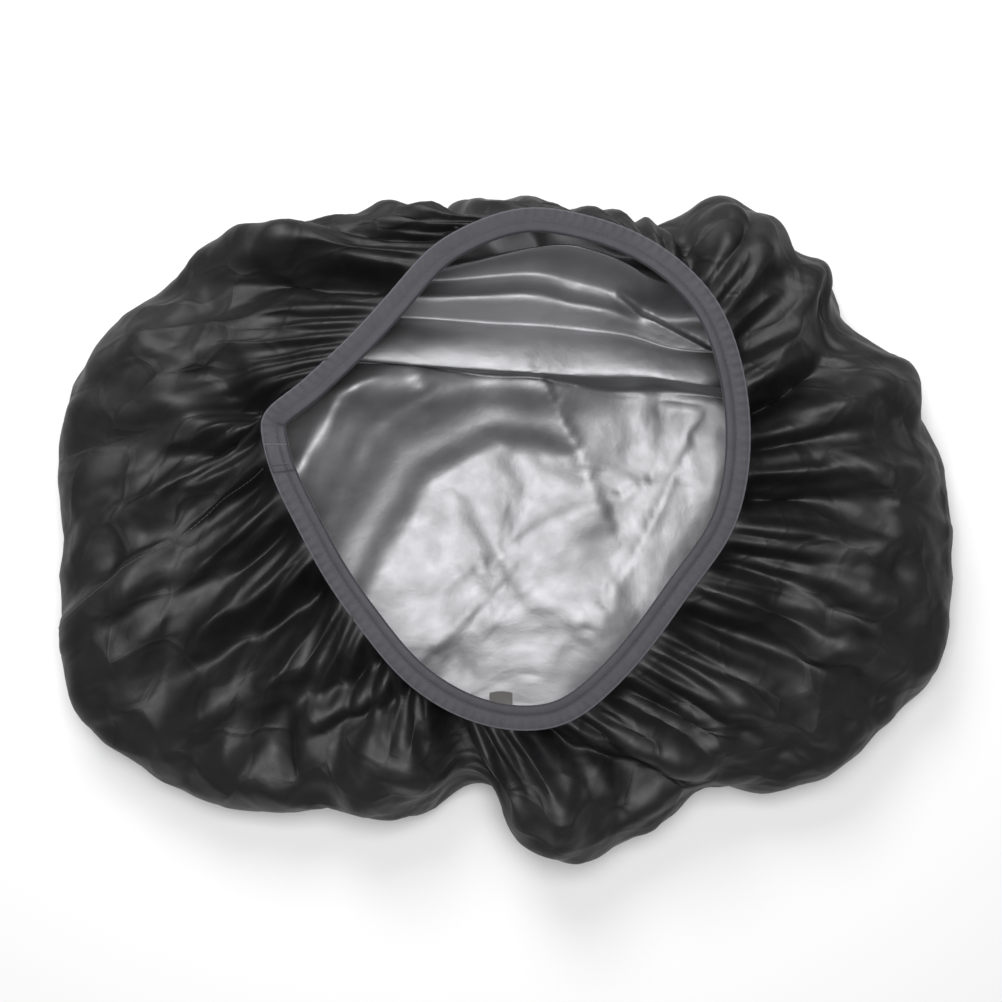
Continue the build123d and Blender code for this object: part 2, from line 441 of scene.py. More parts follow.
def under_band(face, band):
    """The face panel's heights, kept under the part of the band that lies above it.

    The band's lowest point over each cell of a coarse plan grid is the ceiling there.
    """
    cell, size = 0.010, 120
    gap, lowest_cover = 0.007, 0.030
    above = band[band[..., 2] > lowest_cover]
    ceiling = np.full((size, size), 1.0)
    spots = np.floor(above[:, :2] / cell).astype(int) + size // 2
    np.minimum.at(ceiling, (spots[:, 0], spots[:, 1]), above[:, 2])
    for axis in (0, 1):
        ceiling = np.minimum(ceiling, np.minimum(np.roll(ceiling, 1, axis), np.roll(ceiling, -1, axis)))
    over = np.floor(face[..., :2] / cell).astype(int) + size // 2
    limit = np.maximum(ceiling[over[..., 0], over[..., 1]] - gap, lowest_cover - gap)
    drop = np.maximum(face[..., 2] - limit, 0)
    for _ in range(2):
        for axis in (0, 1):
            drop = np.maximum(drop, np.maximum(np.roll(drop, 1, axis), np.roll(drop, -1, axis)))
    for _ in range(12):
        for axis in (0, 1):
            drop = (np.roll(drop, 1, axis) + 2 * drop + np.roll(drop, -1, axis)) / 4
    from_rim = np.arange(CELLS + 1)
    from_rim = np.minimum(from_rim, from_rim[::-1])
    rim_gap = np.minimum(from_rim[:, None], from_rim[None, :])
    return face[..., 2] - drop * smooth(0, 4, rim_gap)


def flat_band():
    """The band's rows of points on its flat pattern, closed into a cylinder."""
    angle = math.pi + 2 * math.pi * turns
    ring = FACE_RADIUS * np.c_[np.cos(angle), np.sin(angle), np.zeros(COLUMNS)]
    up = np.linspace(0, 1, ROWS + 1)[:, None, None]
    return ring[None] + up * np.array([0, 0, BAND_WIDTH])


def calmed(band, share, held_rows):
    """The band's rows after one pass of smoothing, in full where the share is 1.

    The held rows stay as they are: that many at the seam, and one more at the hem.
    """
    calm = (np.roll(band, 1, axis=1) + 2 * band + np.roll(band, -1, axis=1)) / 4
    calm[1:-1] = (calm[:-2] + 2 * calm[1:-1] + calm[2:]) / 4
    made = band + (calm - band) * share
    made[:held_rows], made[-held_rows - 1 :] = band[:held_rows], band[-held_rows - 1 :]
    return made


def unfolded(band, held_rows):
    """The band's rows, smoothed wherever the cloth is turned over itself."""
    smoothed = band
    for _ in range(20):
        smoothed = calmed(smoothed, 1, held_rows)
    for _ in range(12):
        turned = (grid_normals(band, True) * grid_normals(smoothed, True)).sum(-1) < 0.2
        for axis in (0, 1):
            for step in (-2, -1, 1, 2):
                turned = turned | np.roll(turned, step, axis=axis)
        band = calmed(band, turned[..., None], held_rows)
    return band


def mesh_object(name, points, faces):
    """A new object in the scene, from arrays of points and faces."""
    mesh = bpy.data.meshes.new(name)
    mesh.from_pydata(np.asarray(points).tolist(), [], [list(map(int, face)) for face in faces])
    mesh.update()
    made = bpy.data.objects.new(name, mesh)
    bpy.context.scene.collection.objects.link(made)
    return made


def simulate(laid, pattern):
    """Let the band settle for a moment, held at the seam and the hem."""
    ids = np.arange((ROWS + 1) * COLUMNS).reshape(ROWS + 1, COLUMNS)
    beside = np.roll(ids, -1, axis=1)
    quads = np.stack([ids[:-1], ids[1:], beside[1:], beside[:-1]], -1).reshape(-1, 4)
    cloth = mesh_object("cloth", laid.reshape(-1, 3), quads)
    cloth.shape_key_add(name="laid")
    rest = cloth.shape_key_add(name="pattern")
    rest.data.foreach_set("co", pattern.astype(np.float32).ravel())
    rest.value = 0
    held = cloth.vertex_groups.new(name="held")
    held.add(ids[1:-3].ravel().tolist(), LOOSE_HOLD, "REPLACE")
    held.add([*ids[0].tolist(), *ids[-3:].ravel().tolist()], 1.0, "REPLACE")

    bpy.ops.mesh.primitive_plane_add(size=4)
    ground = bpy.context.object
    ground.modifiers.new("ground", "COLLISION")
    ground.collision.thickness_outer = 0.003
    ground.collision.cloth_friction = 20

    modifier = cloth.modifiers.new("cloth", "CLOTH")
    fabric = modifier.settings
    fabric.quality = 6
    fabric.mass = 0.1
    fabric.tension_stiffness = 100
    fabric.compression_stiffness = 100
    fabric.shear_stiffness = 10
    fabric.bending_stiffness = 1.0
    fabric.air_damping = 3
    fabric.vertex_group_mass = "held"
    fabric.rest_shape_key = rest
    fabric.effector_weights.gravity = 0.3
    modifier.collision_settings.distance_min = 0.003
    modifier.point_cache.frame_start = 1
    modifier.point_cache.frame_end = SIMULATED_FRAMES
    for number in range(1, SIMULATED_FRAMES + 1):
        bpy.context.scene.frame_set(number)
    settled = cloth.evaluated_get(bpy.context.evaluated_depsgraph_get()).to_mesh()
    points, _ = mesh_arrays(settled)
    bpy.data.objects.remove(cloth)
    bpy.data.objects.remove(ground)
    bpy.context.scene.frame_set(1)
    return points.reshape(laid.shape)


# ---------------- meshes from grids of points


def finer(grid, axis, closed=False):
    """A grid of points with a smooth halfway point put between each two along one axis."""
    rows = np.moveaxis(grid, axis, 0)
    if closed:
        before, after, beyond = np.roll(rows, 1, 0), np.roll(rows, -1, 0), np.roll(rows, -2, 0)
        halfway = (9 * (rows + after) - before - beyond) / 16
        made = np.stack([rows, halfway], 1).reshape(-1, *rows.shape[1:])
    else:
        padded = np.concatenate([2 * rows[:1] - rows[1:2], rows, 2 * rows[-1:] - rows[-2:-1]])
        halfway = (9 * (padded[1:-2] + padded[2:-1]) - padded[:-3] - padded[3:]) / 16
        made = np.empty((2 * len(rows) - 1, *rows.shape[1:]))
        made[0::2], made[1::2] = rows, halfway
    return np.moveaxis(made, 0, axis)


def grid_normals(grid, closed):
    """Unit normals of a grid of points, on the side that its quads face."""
    down = np.gradient(grid, axis=0)
    if closed:
        along = np.roll(grid, -1, axis=1) - np.roll(grid, 1, axis=1)
    else:
        along = np.gradient(grid, axis=1)
    return unit(np.cross(down, along))


def sheet_object(name, grid, pattern, thickness, materials, closed=True):
    """A closed sheet of cloth from a grid of points.

    The points are the face that the grid's normals look out of, and get the first material. The
    other face gets the last one. The pattern is each point's place on the flat cloth.
    """
    inside = grid_normals(grid, closed)
    count = grid.shape[0] * grid.shape[1]
    ids = np.arange(count).reshape(grid.shape[:2])
    if closed:
        ids = np.hstack([ids, ids[:, :1]])
    front = np.stack([ids[:-1, :-1], ids[1:, :-1], ids[1:, 1:], ids[:-1, 1:]], -1).reshape(-1, 4)
    edges = [(ids[0, 1:], ids[0, :-1]), (ids[-1, :-1], ids[-1, 1:])]
    if not closed:
        edges += [(ids[:-1, 0], ids[1:, 0]), (ids[1:, -1], ids[:-1, -1])]
    rims = [np.stack([b, a, a + count, b + count], -1) for a, b in edges]
    faces = np.vstack([front, front[:, [0, 3, 2, 1]] + count, *rims])
    points = np.vstack([grid.reshape(-1, 3), (grid - inside * thickness).reshape(-1, 3)])
    made = mesh_object(name, points, faces)
    for material in materials:
        made.data.materials.append(material)
    slots = np.full(len(faces), len(materials) - 1)
    slots[: len(front)] = 0
    made.data.polygons.foreach_set("material_index", slots.astype(np.int32))
    made.data.shade_smooth()
    attribute = made.data.attributes.new("pattern", "FLOAT_VECTOR", "POINT")
    places = np.zeros((2, count, 3), np.float32)
    places[..., :2] = pattern.reshape(-1, 2)
    attribute.data.foreach_set("vector", places.ravel())
    return made


def tubes(name, paths, normals, radii, material, sides=6):
    """One object of many short tubes, each along its own row of points."""
    along = unit(np.gradient(paths, axis=1))
    across = unit(np.cross(along, normals))
    lifted = np.cross(across, along)
    angle = np.arange(sides) * 2 * math.pi / sides
    ring = np.cos(angle)[:, None] * lifted[..., None, :] + np.sin(angle)[:, None] * across[..., None, :]
    points = paths[..., None, :] + np.asarray(radii)[:, None, None] * ring
    number, length = paths.shape[:2]
    ids = np.arange(number * length * sides).reshape(number, length, sides)
    beside = np.roll(ids, -1, axis=2)
    walls = np.stack([ids[:, :-1], ids[:, 1:], beside[:, 1:], beside[:, :-1]], -1).reshape(-1, 4)
    caps = [*ids[:, 0].tolist(), *ids[:, -1, ::-1].tolist()]
    made = mesh_object(name, points.reshape(-1, 3), walls.tolist() + caps)
    made.data.materials.append(material)
    made.data.shade_smooth()
    return made


STITCH_LENGTH = 0.0034
STITCH_GAP = 0.0009
THREAD_RADIUS = 0.00034
# Along a stitch: shares of its length, and heights above the cloth and radii, in thread radii.
STITCH_SHARES = np.array([0.0, 0.12, 0.5, 0.88, 1.0])
STITCH_HEIGHTS = np.array([-1.2, 0.4, 0.8, 0.4, -1.2])
STITCH_RADII = np.array([0.6, 0.95, 1.0, 0.95, 0.6])


def stitch_row(name, path, normals, material, closed=True):
    """A row of stitches that lie on a path along the cloth, on the side of its normals."""
    if closed:
        path, normals = np.vstack([path, path[:1]]), np.vstack([normals, normals[:1]])
    lengths = np.r_[0, np.cumsum(np.linalg.norm(np.diff(path, axis=0), axis=1))]
    count = int(lengths[-1] // (STITCH_LENGTH + STITCH_GAP))
    starts = np.arange(count) * lengths[-1] / count + STITCH_GAP / 2
    wanted = starts[:, None] + STITCH_SHARES * STITCH_LENGTH

    def sample(values):
        return np.stack([np.interp(wanted, lengths, values[:, k]) for k in range(3)], -1)

    lifts = unit(sample(normals))
    paths = sample(path) + lifts * (STITCH_HEIGHTS * THREAD_RADIUS)[:, None]
    return tubes(name, paths, lifts, STITCH_RADII * THREAD_RADIUS, material)


def crumpled(places, shortest, longest, slope, count, seed):
    """Heights of a sheet crumpled into flat facets, with straight sharp ridges between them.

    Each of a number of creasings has its own direction and spacing, and fades in and out.
    """
    random = np.random.default_rng(seed)
    flat = places[..., :2].reshape(-1, 2)
    deep = np.c_[flat, np.zeros(len(flat))]
    drift = [wave_noise(deep, longest / 2, 2 * longest, 12, seed + number) for number in (1, 2)]
    flat = flat + 0.10 * longest * np.array(drift).T
    total = np.zeros(len(flat))
    for number in range(count):
        angle = math.pi * (number + random.random()) / count
        length = random.uniform(shortest, longest)
        wave = (flat @ [math.cos(angle), math.sin(angle)] / length + random.random()) % 1
        fading = wave_noise(deep, longest, 3 * longest, 8, seed + 10 + number)
        total += np.clip(0.6 + 0.6 * fading, 0, 1) * slope * length / 2 * np.abs(2 * wave - 1)
    return (total - total.mean()).reshape(places.shape[:-1])


# ---------------- materials


def new_material(name, colour, roughness, **sockets):
    """A material with plain values. Underscores in a socket's name stand for spaces."""
    made = bpy.data.materials.new(name)
    made.use_nodes = True
    shader = made.node_tree.nodes["Principled BSDF"]
    shader.inputs["Base Color"].default_value = (*colour, 1)
    shader.inputs["Roughness"].default_value = roughness
    for socket, value in sockets.items():
        shader.inputs[socket.replace("_", " ")].default_value = value
    return made


def add_node(material, kind, inputs=None, **settings):
    """A node in a material. An input is a value, or another node's output to link from."""
    made = material.node_tree.nodes.new(kind)
    for setting, value in settings.items():
        setattr(made, setting, value)
    for socket, value in (inputs or {}).items():
        if isinstance(value, bpy.types.NodeSocket):
            material.node_tree.links.new(value, made.inputs[socket])
        else:
            made.inputs[socket].default_value = value
    return made


def link(material, output, socket):
    shader = material.node_tree.nodes["Principled BSDF"]
    material.node_tree.links.new(output, shader.inputs[socket])


def noise(material, place, scale, detail=3.0, distortion=0.0):
    inputs = {"Vector": place, "Scale": scale, "Detail": detail, "Distortion": distortion}
    return add_node(material, "ShaderNodeTexNoise", inputs).outputs[0]


def remap(material, value, low, high, new_low, new_high):
    inputs = {0: value, 1: low, 2: high, 3: new_low, 4: new_high}
    return add_node(material, "ShaderNodeMapRange", inputs).outputs[0]


def mix_colour(material, share, first, second):
    inputs = {0: share, 6: first, 7: second}
    return add_node(material, "ShaderNodeMix", inputs, data_type="RGBA").outputs[2]


def bump(material, height, depth, strength=1.0, below=None):
    """A bump that is depth metres high, on top of another one if given."""
    inputs = {"Height": height, "Distance": depth, "Strength": strength}
    if below is not None:
        inputs["Normal"] = below
    return add_node(material, "ShaderNodeBump", inputs).outputs[0]


# A wave texture of scale 1 repeats at this distance.
WAVE_PITCH = math.pi / 10
CLOTH_PITCH = 0.0006
RIB_PITCH = 0.0009


def weave(material, place, pitch):
    """Threads of a plain weave, from two waves across each other."""
    inputs = {"Vector": place, "Scale": WAVE_PITCH / pitch, "Distortion": 0.3, "Detail": 1.0}
    waves = [
        add_node(material, "ShaderNodeTexWave", inputs, bands_direction=axis).outputs[1] for axis in "XY"
    ]
    return add_node(material, "ShaderNodeMath", {0: waves[0], 1: waves[1]}, operation="MULTIPLY").outputs[0]


def cloth_place(material):
    return add_node(material, "ShaderNodeAttribute", attribute_name="pattern").outputs["Vector"]


def bent_place(material, place, scale, reach):
    """Places on the cloth, shifted unevenly by up to about a reach."""
    inputs = {"Vector": place, "Scale": scale, "Detail": 3.0}
    wobble = add_node(material, "ShaderNodeTexNoise", inputs).outputs[1]
    shift = add_node(material, "ShaderNodeVectorMath", {0: wobble, 3: reach}, operation="SCALE").outputs[0]
    return add_node(material, "ShaderNodeVectorMath", {0: place, 1: shift}, operation="ADD").outputs[0]


def make_outer_cloth():
    """Black polyester with a soft gloss, crinkled, with its high folds painted lighter: a little wear, and a
    painted highlight on their crests.
    """
    made = new_material("outer_cloth", (0.006, 0.006, 0.007), 0.42, Specular_IOR_Level=0.45)
    place = cloth_place(made)
    patches = noise(made, place, 22, 6)
    tone = mix_colour(made, patches, (0.0050, 0.0050, 0.0056, 1), (0.0100, 0.0098, 0.0110, 1))
    # High, convex folds are mixed lighter: partly wear, partly a painted highlight on the crests.
    raised = add_node(made, "ShaderNodeNewGeometry").outputs["Pointiness"]
    wear_and_highlight = remap(made, raised, 0.52, 0.62, 0.0, 0.7)
    link(made, mix_colour(made, wear_and_highlight, tone, (0.020, 0.0195, 0.022, 1)), "Base Color")
    link(made, remap(made, noise(made, place, 60, 4), 0.3, 0.7, 0.46, 0.60), "Roughness")
    bent = bent_place(made, place, 9.0, 0.05)
    spots = {"Vector": bent, "Scale": 20.0}
    cells = add_node(made, "ShaderNodeTexVoronoi", spots, feature="DISTANCE_TO_EDGE")
    ridges = remap(made, cells.outputs[0], 0.0, 0.10, 1.0, 0.0)
    creases = bump(made, ridges, 0.0010, 0.4)
    crinkles = bump(made, noise(made, place, 150, 2, 0.8), 0.0004, 0.3, creases)
    link(made, bump(made, weave(made, place, CLOTH_PITCH), 0.00006, 0.6, crinkles), "Normal")
    return made


def make_lining():
    """The silver coating on the inside of the cloth, with fine crumples."""
    made = new_material("lining", (0.42, 0.42, 0.43), 0.55, Metallic=0.85)
    place = cloth_place(made)
    tone = mix_colour(made, noise(made, place, 14, 6), (0.27, 0.27, 0.28, 1), (0.32, 0.32, 0.33, 1))
    # High, convex folds are mixed lighter: partly wear, partly a painted highlight on the crests.
    raised = add_node(made, "ShaderNodeNewGeometry").outputs["Pointiness"]
    wear_and_highlight = remap(made, raised, 0.51, 0.60, 0.0, 0.5)
    link(made, mix_colour(made, wear_and_highlight, tone, (0.40, 0.40, 0.41, 1)), "Base Color")
    link(made, remap(made, noise(made, place, 45, 4), 0.3, 0.7, 0.50, 0.60), "Roughness")
    bent = bent_place(made, place, 30.0, 0.02)
    facets = add_node(made, "ShaderNodeTexVoronoi", {"Vector": bent, "Scale": 52.0}).outputs[0]
    creases = bump(made, facets, 0.0010, 0.3)
    crinkles = bump(made, noise(made, place, 130, 3, 1.0), 0.0004, 0.35, creases)
    link(made, bump(made, weave(made, place, CLOTH_PITCH), 0.00004, 0.5, crinkles), "Normal")
    return made


def make_binding():
    """Dark grey woven tape, lighter along its two edges: worn thread there, and a painted edge highlight."""
    made = new_material("binding", (0.05, 0.05, 0.06), 0.6, Sheen_Weight=0.25, Sheen_Roughness=0.4)
    place = cloth_place(made)
    across = add_node(made, "ShaderNodeSeparateXYZ", {0: place}).outputs[1]
    tone = mix_colour(made, noise(made, place, 70, 5), (0.018, 0.0175, 0.023, 1), (0.038, 0.0365, 0.048, 1))
    # Lighter near the two edges: partly wear, partly a painted edge highlight.
    edge = remap(made, across, 0.0016, 0.0, 0.0, 0.65)
    link(made, mix_colour(made, edge, tone, (0.17, 0.165, 0.19, 1)), "Base Color")
    along = {"Vector": place, "Scale": WAVE_PITCH / RIB_PITCH}
    ribs = add_node(made, "ShaderNodeTexWave", along, bands_direction="X").outputs[1]
    puckers = bump(made, noise(made, place, 160, 4), 0.0007, 0.5)
    link(made, bump(made, ribs, 0.00012, 0.7, puckers), "Normal")
    return made


def make_plain(name, colour, light, roughness, pitch, **sockets):
    """A fine yarn or ribbon, with uneven colour and the twist or weave of its threads."""
    made = new_material(name, colour, roughness, **sockets)
    place = add_node(made, "ShaderNodeTexCoord").outputs["Object"]
    link(made, mix_colour(made, noise(made, place, 900, 3), (*colour, 1), (*light, 1)), "Base Color")
    link(made, bump(made, weave(made, place, pitch), pitch / 6, 0.6), "Normal")
    return made


outer_cloth = make_outer_cloth()
lining = make_lining()
binding = make_binding()
thread = make_plain("thread", (0.020, 0.019, 0.023), (0.055, 0.053, 0.060), 0.5, 0.0004, Sheen_Weight=0.3)
elastic_yarn = make_plain("elastic", (0.030, 0.030, 0.032), (0.060, 0.060, 0.064), 0.7, 0.0010)
label_satin = make_plain(
    "label", (0.060, 0.055, 0.051), (0.095, 0.088, 0.082), 0.5, 0.0005, Sheen_Weight=0.2
)


# ---------------- the cover's pieces


def blended(piece, slot, *nodes):
    """A piece of the cloth stands for CAD nodes, which are hidden; its placement is baked into its mesh."""
    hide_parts(*nodes)
    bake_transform(piece)


def riding(piece, body, slot, *nodes):
    """A piece that stays in shape stands for CAD nodes, and rides on a body."""
    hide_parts(*nodes)
    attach(piece, body)


up_band = np.linspace(0, 1, ROWS + 1)
face, face_pattern = lay_face()
band, outward = lay_band()
band_pattern = flat_band()
wrinkles = wave_noise(band_pattern.reshape(-1, 3), 0.035, 0.12, 40, 5).reshape(band.shape[:2])
wrinkles = 0.002 * wrinkles * (smooth(0, 0.05, up_band) * smooth(1.0, 0.92, up_band))[:, None]
band = band + outward * wrinkles[..., None]
band[..., 2] = np.maximum(band[..., 2], LOWEST_LAID)
band = simulate(band, band_pattern)
face[..., 2] = under_band(face, band)
lowest = min(face[..., 2].min(), band[..., 2].min()) - CLOTH_THICKNESS - FLOOR_GAP
for grid in (face, band):
    grid[..., 2] -= lowest * (1 - grid[..., 2] / HEM_HEIGHT)

# The simulation's small kinks are smoothed away, once more on the lobes than on the gathers.
lobes = smooth(0.80, 0.50, up_band)[:, None, None]
for share in (1, lobes):
    band = calmed(band, share, 2)
face = finer(finer(face, 0), 1)
band = finer(finer(band, 0), 1, closed=True)
fine_rim = rim_cells(2 * CELLS)
face[fine_rim[:, 0], fine_rim[:, 1]] = band[0]
face_pattern = finer(finer(face_pattern[..., :2], 0), 1)
fine_turns = np.arange(2 * COLUMNS) / (2 * COLUMNS)
fine_up = np.linspace(0, 1, 2 * ROWS + 1)
band_pattern = np.stack(
    np.meshgrid(fine_up * BAND_WIDTH, fine_turns * 2 * math.pi * FACE_RADIUS, indexing="ij")[::-1], -1
)

# Small crumples, smaller than the simulated folds, that leave the seam and the hem as they are.
to_rim = 1 - np.hypot(face_pattern[..., 0], face_pattern[..., 1]) / FACE_RADIUS
face_crumple = crumpled(face_pattern, 0.12, 0.30, 0.042, 8, 3)
face_crumple += crumpled(face_pattern, 0.035, 0.09, 0.032, 7, 4)
face_crumple *= 1 - 0.85 * np.maximum(smooth(0.10, 0.14, face[..., 1]), smooth(0.01, 0.05, face[..., 2]))
face += grid_normals(face, False) * (face_crumple * smooth(0, 0.05, to_rim))[..., None]
band_crumple = crumpled(band_pattern, 0.08, 0.18, 0.12, 5, 7)
band_crumple += crumpled(band_pattern, 0.035, 0.07, 0.10, 5, 8)
# At the back, the band's low part stands close behind the face panel, and stays smooth.
fine_back = smooth(0.14, 0.05, np.abs(fine_turns - 0.75))
free = smooth(0.20 * fine_back, 0.05 + 0.35 * fine_back, fine_up[:, None])
free = free * smooth(0.96, 0.62, fine_up)[:, None]
# The pattern's ends meet at turn 0, where crumples on either side don't match.
from_ends = smooth(0, 0.03, np.abs(turn_gap(fine_turns, 0)))
band -= grid_normals(band, True) * (band_crumple * free * from_ends)[..., None]

band = unfolded(band, 4)

# The band's ends meet at one column, where a felled seam stands a little proud.
join = 2 * round(MOUTH_SLANT * COLUMNS)
JOIN_HEIGHT = 0.0009
from_join = np.abs(turn_gap(fine_turns, join / (2 * COLUMNS))) * 2 * math.pi * FACE_RADIUS
band -= grid_normals(band, True) * (JOIN_HEIGHT * smooth(0.010, 0.007, from_join) * free)[..., None]
for grid in (face, band):
    grid[..., 2] = np.maximum(grid[..., 2], CLOTH_THICKNESS + FLOOR_GAP)

cloth_sides = [lining, outer_cloth]
face_panel = sheet_object("face_cloth", face, face_pattern, CLOTH_THICKNESS, cloth_sides, closed=False)
band_panel = sheet_object("band_cloth", band, band_pattern, CLOTH_THICKNESS, cloth_sides)

band_inside = grid_normals(band, True)
# How far up from the seam the stitches lie, as a share of the first row of cells.
SEAM_SHARE = 0.7
seam_line = band[0] * (1 - SEAM_SHARE) + band[1] * SEAM_SHARE
seam_inside = unit(band_inside[0] + band_inside[1])
seam_outer_line = seam_line - seam_inside * CLOTH_THICKNESS
needle_seam = stitch_row("seam_needle_row", seam_outer_line, -seam_inside, thread)
bobbin_seam = stitch_row("seam_bobbin_row", seam_line, seam_inside, thread)


def make_join_stitches():
    """The stitches of the band's own seam, inside and outside, up to the tape."""
    tape_rows = int(HEM_DEPTH / (BAND_WIDTH / len(band)))
    path, normals = band[2 : -3 - tape_rows, join], band_inside[2 : -3 - tape_rows, join]
    rows = [
        stitch_row("join_stitches", path, normals, thread, closed=False),
        stitch_row("join_outside", path - normals * CLOTH_THICKNESS, -normals, thread, closed=False),
    ]
    bpy.ops.object.select_all(action="DESELECT")
    for row in rows:
        row.select_set(True)
    bpy.context.view_layer.objects.active = rows[0]
    bpy.ops.object.join()
    return rows[0]


join_stitches = make_join_stitches()

# Half the thickness of the folded tape from its open edge to its fold: over the hem, down to the
# stitches between the two, and up over the elastic.
TAPE_SECTION = [
    (-0.0006, 0.0013),
    (0.0030, 0.0015),
    (0.0080, 0.0013),
    (0.0105, 0.0010),
    (0.0115, 0.0008),
    (0.0125, 0.0010),
    (0.0145, 0.0014),
    (0.0170, 0.0014),
    (0.0187, 0.0012),
    (0.0197, 0.0007),
    (0.0200, 0.0000),
]
TAPE_THICKNESS = 0.0007
STITCH_INSET = 0.0115
TAPE_STEPS = 44


def tape_grid():
    """The folded tape's inner face from the upper edge over the fold to the lower one.

    Also the distance of each of its rows from the upper edge, and the width that it is cut to.
    """
    upper = np.array(TAPE_SECTION)
    lower = upper[-2::-1] * [1, -1]
    section = np.vstack([upper, lower])
    lengths = np.r_[0, np.cumsum(np.linalg.norm(np.diff(section, axis=0), axis=1))]
    wanted = np.linspace(0, lengths[-1], TAPE_STEPS + 1)
    inward = np.interp(wanted, lengths, section[:, 0])
    lift = np.interp(wanted, lengths, section[:, 1])
    over_hem = smooth(STITCH_INSET, 0.004, inward)[:, None] * np.sign(lift)[:, None]
    gathers = 0.00035 * over_hem * (1 + uneven_wave(fine_turns, 150, 2.0, 11))
    rows = [np.c_[inset(fine_tape_edge, distance), hem_height] for distance in inward]
    grid = np.array(rows)
    grid[..., 2] += lift[:, None] + gathers
    return grid, wanted, lengths[-1]


def tape_line(inward, lift):
    """A closed line along the tape, at a distance in from its edge and a height over its middle."""
    return np.c_[inset(fine_tape_edge, inward), hem_height + lift]


fine_tape_edge = finer(tape_edge, 0, closed=True)
hem_height = np.roll(finer(hem_line, 0, closed=True), -join)
tape_points, tape_across, tape_width = tape_grid()
tape_length = np.linalg.norm(np.roll(fine_tape_edge, -1, axis=0) - fine_tape_edge, axis=1).sum()
from_edge = np.minimum(tape_across, tape_width - tape_across)
tape_pattern = np.stack(np.meshgrid(from_edge, fine_turns * tape_length, indexing="ij")[::-1], -1)
tape = sheet_object("binding_tape_cloth", tape_points, tape_pattern, TAPE_THICKNESS, [binding])

ring_up = np.tile([0.0, 0.0, 1.0], (2 * COLUMNS, 1))
stitch_lift = 0.0008 + TAPE_THICKNESS
needle_row = stitch_row("binding_needle_stitches", tape_line(STITCH_INSET, stitch_lift), ring_up, thread)
bobbin_row = stitch_row("binding_bobbin_stitches", tape_line(STITCH_INSET, -stitch_lift), -ring_up, thread)

# The elastic's section is a flat oval.
ELASTIC_INSET = 0.0160
ELASTIC_HALF_WIDTH = 0.0031
ELASTIC_HALF_HEIGHT = 0.00105


def make_elastic():
    """The elastic in the fold of the tape: an oval swept round the mouth."""
    oval = np.linspace(0, 2 * math.pi, 12, endpoint=False)
    points = np.array([
        tape_line(ELASTIC_INSET - ELASTIC_HALF_WIDTH * math.cos(a), ELASTIC_HALF_HEIGHT * math.sin(a))
        for a in oval
    ])
    ids = np.arange(points.shape[0] * points.shape[1]).reshape(points.shape[:2])
    next_oval, next_turn = np.roll(ids, -1, axis=0), np.roll(ids, -1, axis=1)
    quads = np.stack([ids, next_turn, np.roll(next_oval, -1, axis=1), next_oval], -1)
    made = mesh_object("elastic_band", points.reshape(-1, 3), quads.reshape(-1, 4))
    made.data.materials.append(elastic_yarn)
    made.data.shade_smooth()
    return made


elastic = make_elastic()

# The end of the tape, folded under and lapped over its start, with slanted corners.
LAP_HALF_LENGTH = 0.013
LAP_SLANT = 0.25
LAP_RAISE = 0.0009
LAP_CROWN = 0.0003
station_step = tape_length / (2 * COLUMNS)


def on_tape(inward, along, lift):
    """Points on top of the tape: distances in from its edge and along it from its join."""
    station = along / station_step
    low = np.floor(station).astype(int)
    part = (station - low)[..., None]
    lines = np.stack([tape_line(distance, 0) for distance in np.linspace(0, TAPE_WIDTH, 21)])
    row = np.clip(inward / TAPE_WIDTH * 20, 0, 19.999)
    row_low = np.floor(row).astype(int)
    row_part = (row - row_low)[..., None]
    total = 2 * COLUMNS

    def at(rows, columns):
        return lines[rows, columns % total]

    near = at(row_low, low) * (1 - part) + at(row_low, low + 1) * part
    far = at(row_low + 1, low) * (1 - part) + at(row_low + 1, low + 1) * part
    points = near * (1 - row_part) + far * row_part
    section = np.array(TAPE_SECTION)
    points[..., 2] += np.interp(inward, section[:, 0], section[:, 1]) + TAPE_THICKNESS + lift
    return points


def make_lap():
    """The lap: a short piece of tape whose edges come down to the tape beneath."""
    inward, along = np.meshgrid(
        np.linspace(0.0004, TAPE_WIDTH - 0.0009, 25), np.linspace(-1, 1, 31), indexing="ij"
    )
    edge_gap = np.minimum(1 - np.abs(along), 0.5 - np.abs(inward / TAPE_WIDTH - 0.5))
    drop = LAP_RAISE * smooth(0.08, 0.0, edge_gap)
    shift = along * LAP_HALF_LENGTH + LAP_SLANT * (inward - TAPE_WIDTH / 2)
    grid = on_tape(inward, shift, LAP_RAISE + LAP_CROWN * (1 - along**2) - drop)
    pattern = np.stack([shift, TAPE_WIDTH * edge_gap], -1)
    return sheet_object("binding_lap_cloth", grid, pattern, TAPE_THICKNESS, [binding], closed=False)


TACK_TURNS = 34
TACK_HALF_WIDTH = 0.0012
# How far the bar tack lies from the middle of the lap.
TACK_PLACE = 0.006
# Heights along each run of the tack's thread, in thread radii.
TACK_HEIGHTS = np.array([-0.3, 0.3, 0.5, 0.3, -0.3])


def make_bar_tack():
    """The bar tack: a dense zigzag across the lap."""
    turns_inward = np.linspace(0.0025, TAPE_WIDTH - 0.0035, TACK_TURNS)[:, None]
    turns_along = TACK_HALF_WIDTH * (-1.0) ** np.arange(TACK_TURNS)[:, None]
    share = np.linspace(0, 1, 5)
    inward = turns_inward[:-1] * (1 - share) + turns_inward[1:] * share
    along = turns_along[:-1] * (1 - share) + turns_along[1:] * share
    along = along + TACK_PLACE + LAP_SLANT * (inward - TAPE_WIDTH / 2)
    paths = on_tape(inward, along, LAP_RAISE + LAP_CROWN + TAPE_THICKNESS)
    paths[..., 2] += TACK_HEIGHTS * THREAD_RADIUS
    up = np.tile([0.0, 0.0, 1.0], (*paths.shape[:2], 1))
    return tubes("bar_tack_thread", paths, up, STITCH_RADII * THREAD_RADIUS, thread)


lap = make_lap()
bar_tack = make_bar_tack()

LABEL_THICKNESS = 0.0004
